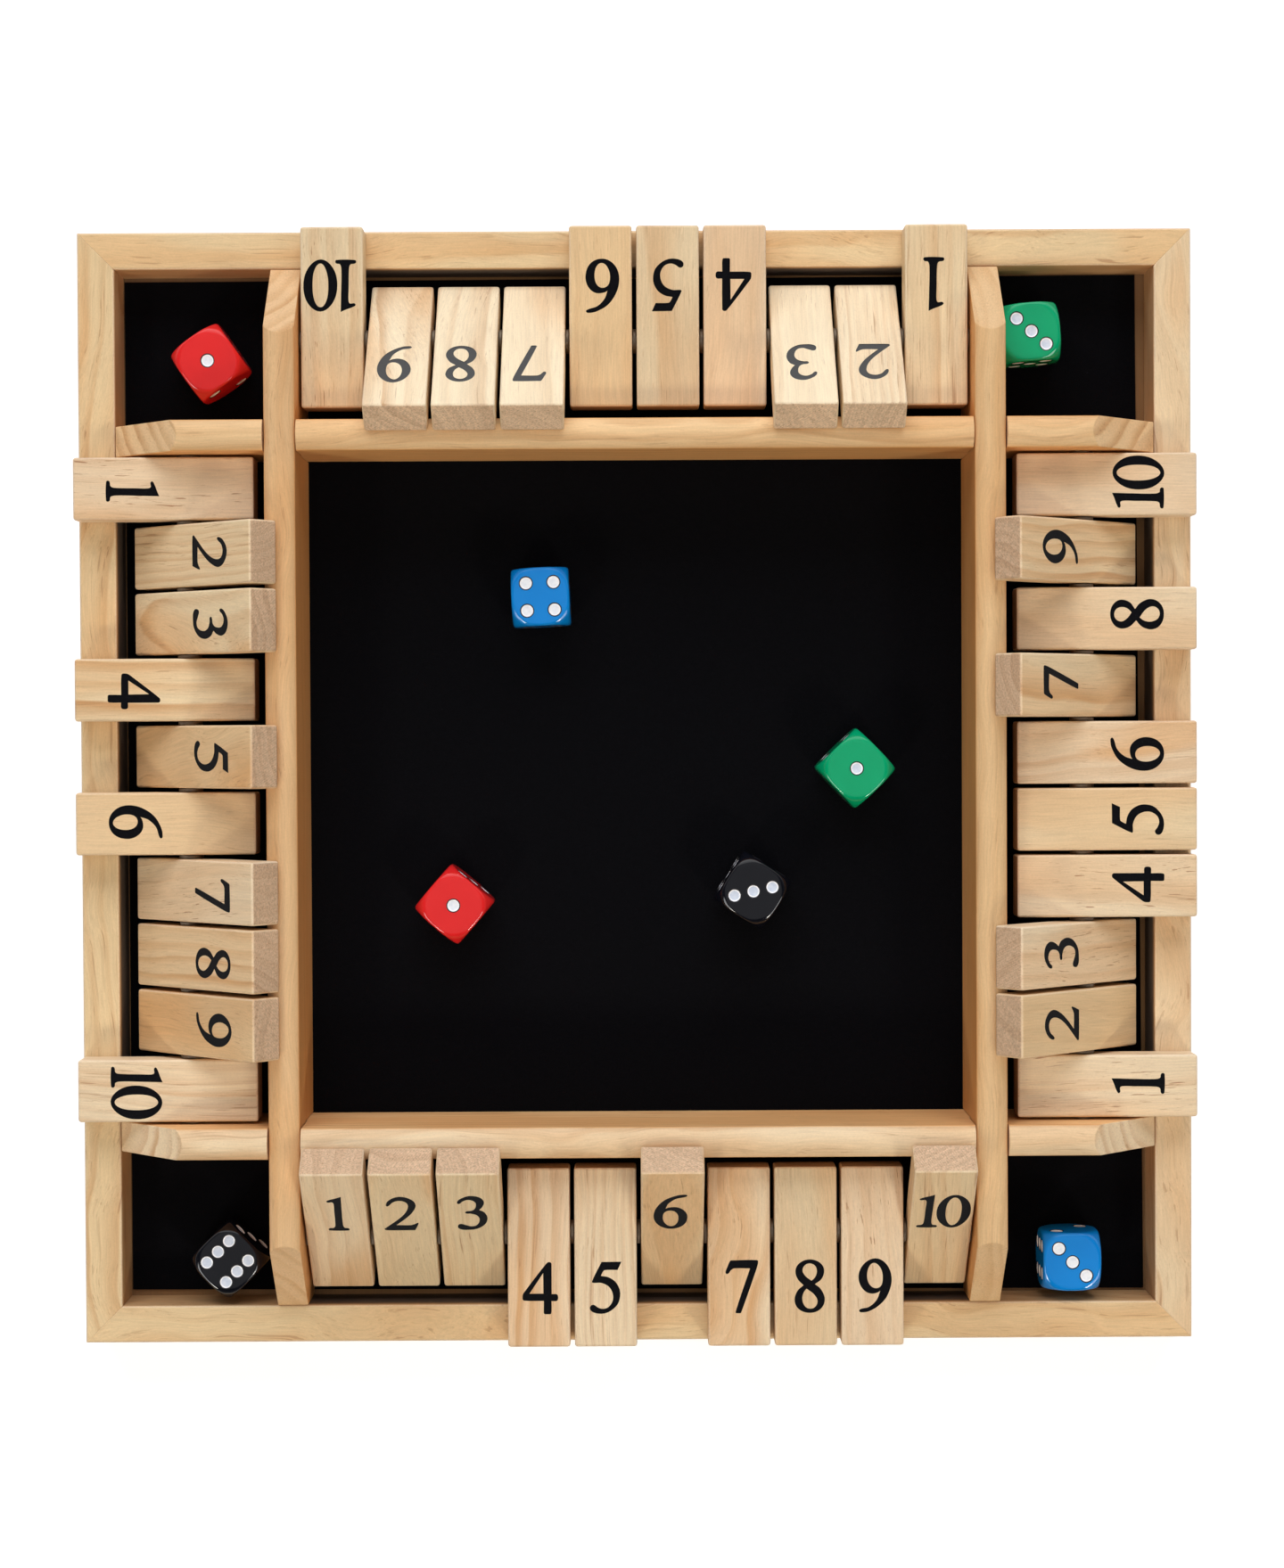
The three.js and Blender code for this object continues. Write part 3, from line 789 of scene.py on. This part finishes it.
# The tone and figure of tiles 1 to 10 on each side. Seeds tell one board's grain from another's.
TILE_SEEDS_PER_SIDE = 100
FRAME_SEED = 500
DIVIDER_SEED = 700
BOARDS = {
    "front": "pale two_tone, yellow two_tone, yellow lined, pink banded, pale lined, "
             "yellow two_tone, pale swirl, grey banded, pink flecked, yellow lined",
    "right": "pale flecked, tan plain, pale flecked, pale flecked, yellow plain, "
             "pink two_tone, yellow banded, pale plain, yellow banded, pink plain",
    "back": "yellow lined, cream lined, cream plain, pink plain, grey banded, "
            "tan plain, cream plain, cream two_tone, cream swirl, grey flecked",
    "left": "pink flecked, yellow lined, yellow swirl, yellow banded, tan swirl, "
            "yellow plain, pale flecked, yellow banded, tan two_tone, pale lined",
}


def tile_master(number):
    """A tile with its number pressed into its top, which shows when it is open, and its underside."""
    tile = block(
        (-TILE_WIDTH / 2, -TILE_LONG_ARM, -TILE_THICKNESS / 2),
        (TILE_WIDTH / 2, TILE_LENGTH - TILE_LONG_ARM, TILE_THICKNESS / 2),
    )
    ease(tile, TILE_EASE)
    tile.data.materials.append(BARE_PINE)
    reach = TILE_WIDTH / 2 + BEYOND
    bore = bar(TILE_BORE / 2, (-reach, 0, 0), (reach, 0, 0), BORE_SIDES)
    bore.data.materials.append(BARE_PINE)
    cut(tile, bore)
    top = Matrix.Translation((0, -OPEN_FOOT, TILE_THICKNESS / 2))
    underside = Matrix.Translation((0, -SHUT_FOOT, -TILE_THICKNESS / 2)) @ Matrix.Rotation(math.pi, 4, "X")
    for face in (top, underside):
        stamp = numeral_stamp(number)
        stamp.data.transform(face)
        cut(tile, stamp)
    return smooth(tile)


def tile_turn(side, number):
    """How far a tile is tipped at rest: not at all when open, or by its whole range when shut."""
    low, high = joints[f"{side}_tile_{number}_flip"]["range_deg"]
    return math.radians(min(low, 0))


def build_tiles():
    for number in range(1, TILES_PER_BANK + 1):
        master = tile_master(number)
        for order, (side, turn) in enumerate(SIDES.items()):
            middle = Vector(((number - (TILES_PER_BANK + 1) / 2) * TILE_PITCH, -ROD_FROM_MIDDLE, ROD_HEIGHT))
            place = (
                Matrix.Rotation(turn, 4, "Z")
                @ Matrix.Translation(middle)
                @ Matrix.Rotation(tile_turn(side, number), 4, "X")
            )
            tone, figure = BOARDS[side].split(", ")[number - 1].split()
            wood = pine(
                f"{side}_{number}_wood", TILE_SEEDS_PER_SIDE * order + number, TONES[tone], figure,
                place.to_translation(), place.to_3x3(), end_grain=END_GRAINS[side], shaded_end=True,
            )
            # The back bank's shut numerals take the glossier ink copy, a painted sheen
            numeral = BACK_SHEEN_INK if side == "back" and tile_turn(side, number) else INK
            node = f"{side}_tile_{number}"
            tile = copy_of(master, place)
            hand_over(tile, node + "_pine", node, node, [wood, numeral])
        bpy.data.objects.remove(master)


# Frame: one side in its place at the front, mitred at both ends

def frame_side():
    side = block((-BOARD_HALF, -BOARD_HALF, 0), (BOARD_HALF, -INNER_HALF, RIM_HEIGHT))
    rebate = block(
        (-BOARD_HALF - BEYOND, -INNER_HALF - REBATE_WIDTH, -BEYOND),
        (BOARD_HALF + BEYOND, -INNER_HALF + BEYOND, REBATE_HEIGHT),
    )
    cut(side, rebate)
    choose(side, "EDGE", lambda edge: all(vert.co.z > RIM_HEIGHT - MM for vert in edge.verts)
           and abs(edge.verts[0].co.y - edge.verts[1].co.y) < MM)
    bpy.ops.mesh.bevel(offset=FRAME_EASE, segments=4, affect="EDGES")
    done()
    for end in (-1, 1):
        slice_off(side, (end * BOARD_HALF, -BOARD_HALF, 0), (end, 1, 0))
    choose(side, "EDGE", lambda edge: sum(abs(face.normal.x) > 0.6 for face in edge.link_faces) == 1)
    bpy.ops.mesh.bevel(offset=MITRE_EASE, segments=1, affect="EDGES")
    done()
    return smooth(side)


def build_frame():
    master = frame_side()
    for order, (side, turn) in enumerate(SIDES.items()):
        place = Matrix.Rotation(turn, 4, "Z")
        centre = place @ Vector((0, -(BOARD_HALF + INNER_HALF) / 2, RIM_HEIGHT / 2))
        grain = (place @ Matrix.Rotation(QUARTER, 4, "Z")).to_3x3()
        wood = pine(
            f"frame_{side}_wood", FRAME_SEED + order, FRAME_PINES[side], "frame", centre, grain,
            side_shade=FRAME_SIDE_SHADE, shaded_wall=True,
        )
        piece = copy_of(master, place)
        hand_over(piece, f"frame_side_{side}", "board", "outer_frame", [wood])
    bpy.data.objects.remove(master)


# Dividers: along X through the middle, carried out to their sides afterwards

def divider_master(notched_above):
    """A rail with a crowned top, bevelled ends, two halvings and two blind sockets for the rods."""
    crown_radius = (DIVIDER_WIDTH ** 2 / 4 + CROWN_RISE ** 2) / (2 * CROWN_RISE)
    low, high = divider_low.z, divider_high.z
    reach = divider_high.x
    bevel_end = RIM_HEIGHT + BEVEL_END_RISE
    shoulder = high - CROWN_RISE - MM
    rail = bar(crown_radius, (-reach, 0, high - crown_radius), (reach, 0, high - crown_radius), CROWN_SIDES)
    for side in (-1, 1):
        slice_off(rail, (0, side * DIVIDER_WIDTH / 2, 0), (0, side, 0))
    slice_off(rail, (0, 0, shoulder), (0, 0, -1))
    choose(rail, "FACE", lambda face: face.normal.z < -0.9)
    bpy.ops.mesh.extrude_region_move(TRANSFORM_OT_translate={"value": (0, 0, low - shoulder)})
    bpy.ops.mesh.select_all(action="SELECT")
    bpy.ops.mesh.remove_doubles(threshold=SAME_POINT)
    bpy.ops.mesh.dissolve_limited(angle_limit=math.radians(0.5))
    done()
    for end in (-1, 1):
        drop = high - bevel_end
        slice_off(rail, (end * reach, 0, bevel_end), (end * drop, 0, BEVEL_RUN))
    ease(rail, DIVIDER_EASE, segments=3, angle=20)
    halving = (low + high) / 2
    for side in (-1, 1):
        middle = side * DIVIDER_FROM_MIDDLE
        half = DIVIDER_WIDTH / 2 + FIT_GAP
        bottom = halving - FIT_GAP / 2 if notched_above else low - BEYOND
        top = high + BEYOND if notched_above else halving + FIT_GAP / 2
        cut(rail, block((middle - half, -DIVIDER_WIDTH, bottom), (middle + half, DIVIDER_WIDTH, top)))
        face = DIVIDER_WIDTH / 2
        cut(rail, bar(
            SOCKET_RADIUS, (side * ROD_FROM_MIDDLE, face - SOCKET_DEPTH, ROD_HEIGHT),
            (side * ROD_FROM_MIDDLE, face + BEYOND, ROD_HEIGHT), HOLE_SIDES,
        ))
    return smooth(rail, 25)


def build_dividers():
    masters = {True: divider_master(True), False: divider_master(False)}
    for order, (side, turn) in enumerate(SIDES.items()):
        place = Matrix.Rotation(turn, 4, "Z") @ Matrix.Translation((0, -DIVIDER_FROM_MIDDLE, 0))
        centre = place @ Vector((0, 0, (divider_low.z + divider_high.z) / 2))
        grain = (place @ Matrix.Rotation(QUARTER, 4, "Z")).to_3x3()
        wood = pine(
            f"divider_{side}_wood", DIVIDER_SEED + order, DIVIDER_PINES[side], "divider", centre, grain,
            edge_abrasion_and_highlight=0, side_shade=DIVIDER_SIDE_SHADE,
        )
        piece = copy_of(masters[side in ("front", "back")], place)
        hand_over(piece, f"{side}_divider_pine", "board", f"{side}_divider", [wood])
    for master in masters.values():
        bpy.data.objects.remove(master)


def build_rods():
    for side, turn in SIDES.items():
        start, end = ((x, -ROD_FROM_MIDDLE, ROD_HEIGHT) for x in (rod_low.x, rod_high.x))
        rod = bar(ROD_RADIUS, start, end)
        choose(rod, "EDGE", lambda edge: len({round(face.normal.x) for face in edge.link_faces}) > 1)
        bpy.ops.mesh.bevel(offset=ROD_CHAMFER, segments=2, affect="EDGES")
        done()
        smooth(rod)
        rod.data.transform(Matrix.Rotation(turn, 4, "Z"))
        hand_over(rod, f"{side}_rod_steel", "board", f"{side}_rod", [STEEL])


def washer(middle, thickness):
    disc = bar(WASHER_RADIUS, (middle - thickness / 2, 0, 0), (middle + thickness / 2, 0, 0), BORE_SIDES)
    ease(disc, WASHER_EASE, segments=2, angle=40)
    cut(disc, bar(WASHER_HOLE, (middle - MM, 0, 0), (middle + MM, 0, 0), HOLE_SIDES))
    return disc


def build_washers():
    """Steel washers between the tiles, and thinner ones between the outer tiles and the dividers."""
    row = []
    for gap in range(TILES_PER_BANK + 1):
        middle = (gap - TILES_PER_BANK / 2) * TILE_PITCH
        thickness = WASHER_THICKNESS
        if gap in (0, TILES_PER_BANK):
            inner_face = DIVIDER_FROM_MIDDLE - DIVIDER_WIDTH / 2
            tile_face = TILES_PER_BANK / 2 * TILE_PITCH - (TILE_PITCH - TILE_WIDTH) / 2
            middle = math.copysign((inner_face + tile_face) / 2, middle)
            thickness = END_WASHER_THICKNESS
        row.append(washer(middle, thickness))
    master = smooth(join(row))
    for side, turn in SIDES.items():
        place = Matrix.Rotation(turn, 4, "Z") @ Matrix.Translation((0, -ROD_FROM_MIDDLE, ROD_HEIGHT))
        washers = copy_of(master, place)
        hand_over(washers, f"{side}_washers_steel", "board", None, [WASHER_STEEL])
    bpy.data.objects.remove(master)


# Floor of the board

def build_base():
    """The panel in the frame's rebate, and the hand-cut felt glued on it."""
    panel = block(base_low, base_high)
    ease(panel, PANEL_EASE, segments=2)
    smooth(panel)
    hand_over(panel, "base_panel_ply", "board", "base_panel", [plywood("ply_face")])

    lining = block(felt_low, felt_high)
    for (right, back), (short_x, short_y) in FELT_SHORT.items():
        corner = Vector((felt_high.x * right, felt_high.y * back, 0))
        cut_corner = Vector((corner.x - short_x * right, corner.y - short_y * back, 0))
        choose(lining, "EDGE", lambda edge: all((vert.co.xy - corner.xy).length < MM for vert in edge.verts))
        bpy.ops.transform.translate(value=cut_corner - corner)
        done()
    ease(lining, FELT_EASE, segments=2)
    smooth(lining)
    hand_over(lining, "felt_floor", "board", "felt_lining", [felt()])


# Dice

# Places of the pips on a face, in pitches from its middle
PIP_LAYOUTS = {
    1: [(0, 0)],
    2: [(-1, 1), (1, -1)],
    3: [(0, 0), (-1, 1), (1, -1)],
    4: [(-1, 1), (1, -1), (1, 1), (-1, -1)],
    5: [(0, 0), (-1, 1), (1, -1), (1, 1), (-1, -1)],
}
# The turn that carries the top face to each number's own, and undone brings that number to the top
DIE_FACES = {
    1: Euler((0, QUARTER, 0)),
    2: Euler((-QUARTER, 0, 0)),
    3: Euler((0, 0, 0)),
    4: Euler((2 * QUARTER, 0, 0)),
    5: Euler((QUARTER, 0, 0)),
    6: Euler((0, -QUARTER, 0)),
}
# Faces whose pips run the other way
SPUN_FACES = (2,)
# How much painted shade greys the pips' middles
PIP_CENTRE_SHADE = {"red": 0.35, "green": 0.8, "blue": 0.25, "black": 0.9}
# The face on top of each die, and how far the die is turned about the vertical, in degrees
DICE = {
    "red_die_pocket": (1, -145.2),
    "green_die_pocket": (3, 4.5),
    "black_die_pocket": (6, 44),
    "blue_die_pocket": (3, 0),
    "blue_die_tray": (4, -177.5),
    "green_die_tray": (1, 134),
    "red_die_tray": (1, -130.7),
    "black_die_tray": (3, -122.9),
}


def pip_places(value):
    """Where the pips of a number are on the top face. The six has its two rows drawn out."""
    pitch = DIE_SIZE * PIP_PITCH_SHARE
    if value == 6:
        return [(row * DIE_SIZE * SIX_PITCH_SHARE, side * pitch) for row in (-1, 0, 1) for side in (-1, 1)]
    return [(x * pitch, y * pitch) for x, y in PIP_LAYOUTS[value]]


def pip_rim(x, y, face):
    """The narrow step that a pip's dish is moulded in, on the top face before that is turned to its own."""
    half = DIE_SIZE / 2
    cutter = bar(PIP_DIAMETER / 2 + PIP_RIM, (x, y, half - PIP_RIM_DEPTH), (x, y, half + MM), RIM_SIDES)
    cutter.data.transform(face)
    # The step's dark material is painted shade round the pip
    cutter.data.materials.append(PIP_RIM_SHADE)
    return cutter


def pip_dish(x, y, face):
    """The shallow white hollow inside the rim."""
    bpy.ops.mesh.primitive_uv_sphere_add(
        segments=DISH_SIDES, ring_count=DISH_SIDES // 2, radius=1,
        location=(x, y, DIE_SIZE / 2 - PIP_RIM_DEPTH),
        scale=(PIP_DIAMETER / 2, PIP_DIAMETER / 2, PIP_DEPTH - PIP_RIM_DEPTH),
    )
    cutter = settle(bpy.context.object)
    cutter.data.transform(face)
    cutter.data.materials.append(PIP_WHITE)
    return cutter


def eased_outer(first, second):
    """The larger of two distances, eased where they are nearly the same."""
    overlap = max(DIE_EASE - abs(first - second), 0)
    return max(first, second) + overlap * overlap / (4 * DIE_EASE)


def tumbled(point):
    """Where a point of the cube lies once its corners are cut to a ball and tumbled."""
    direction = point.normalized()
    near, far = 0.0, DIE_SIZE
    for halving in range(HALVINGS):
        reach = (near + far) / 2
        x, y, z = (abs(value) * reach - DIE_SIZE / 2 for value in direction)
        outside = eased_outer(eased_outer(eased_outer(x, y), z), reach - DIE_SIZE * DIE_ROUND_SHARE)
        near, far = (near, reach) if outside > 0 else (reach, far)
    return direction * reach


def closer_to_edge(value):
    """Moves a row of the grid on the die's faces nearer to the edge, where the roundings need it."""
    half = DIE_SIZE / 2
    return (value + half * math.sin(value / half * QUARTER)) / 2


def die_master():
    """A die about the origin: a cube cut by a ball, with the three on top and the pips of all six faces."""
    half = DIE_SIZE / 2
    die = block((-half, -half, -half), (half, half, half))
    choose(die, "EDGE", lambda edge: True)
    bpy.ops.mesh.subdivide(number_cuts=DIE_CUTS)
    done()
    for vertex in die.data.vertices:
        vertex.co = tumbled(Vector([closer_to_edge(value) for value in vertex.co]))
    die.data.materials.append(BARE_PLASTIC)
    for value, turn in DIE_FACES.items():
        face = turn.to_matrix().to_4x4()
        if value in SPUN_FACES:
            face = face @ Matrix.Rotation(QUARTER, 4, "Z")
        for cutter in (pip_rim, pip_dish):
            cut(die, join([cutter(x, y, face) for x, y in pip_places(value)]))
    return smooth(die, 40)


def build_dice():
    master = die_master()
    for node, (up, yaw) in DICE.items():
        low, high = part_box(node)
        place = (
            Matrix.Translation((low + high) / 2)
            @ Matrix.Rotation(math.radians(yaw), 4, "Z")
            @ DIE_FACES[up].to_matrix().transposed().to_4x4()
        )
        colour = node.split("_")[0]
        die = copy_of(master, place)
        white = pip_paint(node + "_pip_white", place.to_3x3(), PIP_CENTRE_SHADE[colour])
        materials = [PLASTICS[colour], PIP_RIM_SHADE, white]
        hand_over(die, node + "_plastic", node, node, materials)
    bpy.data.objects.remove(master)


STEEL = steel("rod_drawn", tint(106, 101, 97), tint(138, 133, 129), 0.32)
WASHER_STEEL = steel("washer_stamped", tint(108, 98, 87), tint(148, 136, 121), 0.46)
PLASTICS = {
    "red": plastic("dice_red", tint(232, 42, 41), tint(220, 34, 35)),
    "green": plastic("dice_green", tint(4, 168, 112), tint(2, 157, 102)),
    "blue": plastic("dice_blue", tint(8, 141, 224), tint(5, 128, 212)),
    "black": plastic("dice_black", tint(17, 18, 25), tint(11, 12, 18)),
}


# Floor, light and camera

WHITE = (1.0, 1.0, 1.0, 1.0)
WARM_WHITE = (1.0, 0.92, 0.84, 1.0)
COOL_LIGHT = (0.96, 1.0, 1.1)
WARM_LIGHT = (1.0, 0.94, 0.82)
PLAIN_LIGHT = (1.0, 1.0, 1.0)

# The floor's own glow, which leaves room for the board's shadow and grows to plain white farther out
FLOOR_HALF = 6.0
FLOOR_WHITE = tint(232, 232, 232)
FLOOR_GLOW = 0.55
FLOOR_GLOW_GROWS = (0.35, 1.5)

# The room that shiny surfaces mirror. A pair is where a part of it begins and is full, as the height of a
# direction, as how far that points to the back, or as how nearly it points at a lamp.
WORLD_FILL = 0.12
ZENITH_DIM = 0.2
ZENITH = (0.35, 0.75)
NEAR_WALL_DIM = 0.1
BACK_WALL = (0.0, 0.6)
CEILING_GLOW = 0.36
CEILING = (0.86, 0.97)
BACK_LAMP_GLOW = 1.1
BACK_LAMP_TOWARDS = (-0.04, 0.826, 0.563)
BACK_LAMP_SPREAD = (0.86, 0.93)
FRONT_LAMP_GLOW = 5.5
FRONT_LAMPS_TOWARDS = ((-0.604, -0.472, 0.643), (0.569, -0.512, 0.643))
FRONT_LAMP_SPREAD = (0.955, 0.972)

# Area lamps: place, size, watts, colour, and whether shiny surfaces mirror them
LAMPS = {
    "back_softbox": ((-0.1, 2.1, 1.43), (2.7, 1.7), 58, COOL_LIGHT, False),
    "front_left_softbox": ((-0.82, -1.15, 1.2), (0.28, 0.28), 6.3, WARM_LIGHT, True),
    "front_right_softbox": ((0.82, -1.15, 1.2), (0.28, 0.28), 6.9, WARM_LIGHT, True),
    "top_softbox": ((0.05, -0.1, 1.5), (1.0, 1.0), 5.2, PLAIN_LIGHT, False),
}

# Fitted to the photograph
CAMERA_SENSOR = 36
CAMERA_NEAR = 0.01
CAMERA_LENS = 64.697
CAMERA_PLACE = (-0.0003444, 0.0155574, 0.79155)
CAMERA_TURN_DEGREES = (-1.0850, -0.1419, -0.2871)


def build_floor():
    bpy.ops.mesh.primitive_plane_add(size=2 * FLOOR_HALF)
    floor = bpy.context.object
    floor.name = "floor"
    paint = new_paint("floor_white")
    camera, glossy, through = paint.seen_plainly()
    place = paint.node("ShaderNodeTexCoord", out=3)
    away = paint.node("ShaderNodeVectorMath", {"operation": "LENGTH"}, {0: place}, out=1)
    white_share = FLOOR_GLOW + paint.step(away, *FLOOR_GLOW_GROWS) * (1 - FLOOR_GLOW)
    glow = (camera + glossy + through).math("MINIMUM", 1.0) * white_share
    floor.data.materials.append(paint.finish(
        FLOOR_WHITE, 0.9, Emission_Color=paint.grey(glow), Emission_Strength=1.0, Specular_IOR_Level=0.0
    ))


def build_world():
    """White to the camera, a studio to shiny surfaces, and a faint warm fill to the rest."""
    world = bpy.data.worlds.new("studio")
    bpy.context.scene.world = world
    paint = Paint(world)
    camera, glossy, through = paint.seen_plainly()
    direction = paint.node("ShaderNodeTexCoord", out=0)
    x, y, z = paint.split(direction)
    walls = 1 - paint.step(z, *ZENITH) * (1 - ZENITH_DIM)
    walls = walls * (NEAR_WALL_DIM + paint.step(y, *BACK_WALL) * (1 - NEAR_WALL_DIM))
    walls = walls + paint.step(z, *CEILING) * CEILING_GLOW
    back_lamp = paint.step(paint.towards(direction, BACK_LAMP_TOWARDS), *BACK_LAMP_SPREAD)
    walls = walls + back_lamp * BACK_LAMP_GLOW
    for lamp in FRONT_LAMPS_TOWARDS:
        front_lamp = paint.step(paint.towards(direction, lamp), *FRONT_LAMP_SPREAD)
        walls = walls + front_lamp * FRONT_LAMP_GLOW
    mirrored = (glossy + through).math("MINIMUM", 1.0)
    strength = camera + (1 - camera) * (mirrored * (walls - WORLD_FILL) + WORLD_FILL)
    colour = paint.mix((camera + mirrored).math("MINIMUM", 1.0), WARM_WHITE, WHITE)
    background = paint.node("ShaderNodeBackground", {}, {"Color": colour, "Strength": strength})
    paint.node("ShaderNodeOutputWorld", {}, {"Surface": background})


def build_lights():
    """Softboxes that all point at the board's middle."""
    for name, (place, size, watts, colour, mirrored) in LAMPS.items():
        light = bpy.data.lights.new(name, "AREA")
        light.color = colour
        light.shape = "RECTANGLE"
        light.size, light.size_y = size
        light.energy = watts
        lamp = bpy.data.objects.new(name, light)
        lamp.location = place
        lamp.rotation_euler = (-Vector(place)).to_track_quat("-Z", "Y").to_euler()
        lamp.visible_glossy = mirrored
        bpy.context.scene.collection.objects.link(lamp)


def build_camera():
    data = bpy.data.cameras.new("camera")
    data.sensor_width = CAMERA_SENSOR
    data.lens = CAMERA_LENS
    data.clip_start = CAMERA_NEAR
    camera = bpy.data.objects.new("camera", data)
    camera.location = CAMERA_PLACE
    camera.rotation_euler = [math.radians(value) for value in CAMERA_TURN_DEGREES]
    bpy.context.scene.collection.objects.link(camera)
    bpy.context.scene.camera = camera


build_camera()
build_world()
build_lights()
build_floor()
build_base()
build_frame()
build_dividers()
build_rods()
build_washers()
build_tiles()
build_dice()

bpy.context.scene.view_settings.view_transform = "Standard"
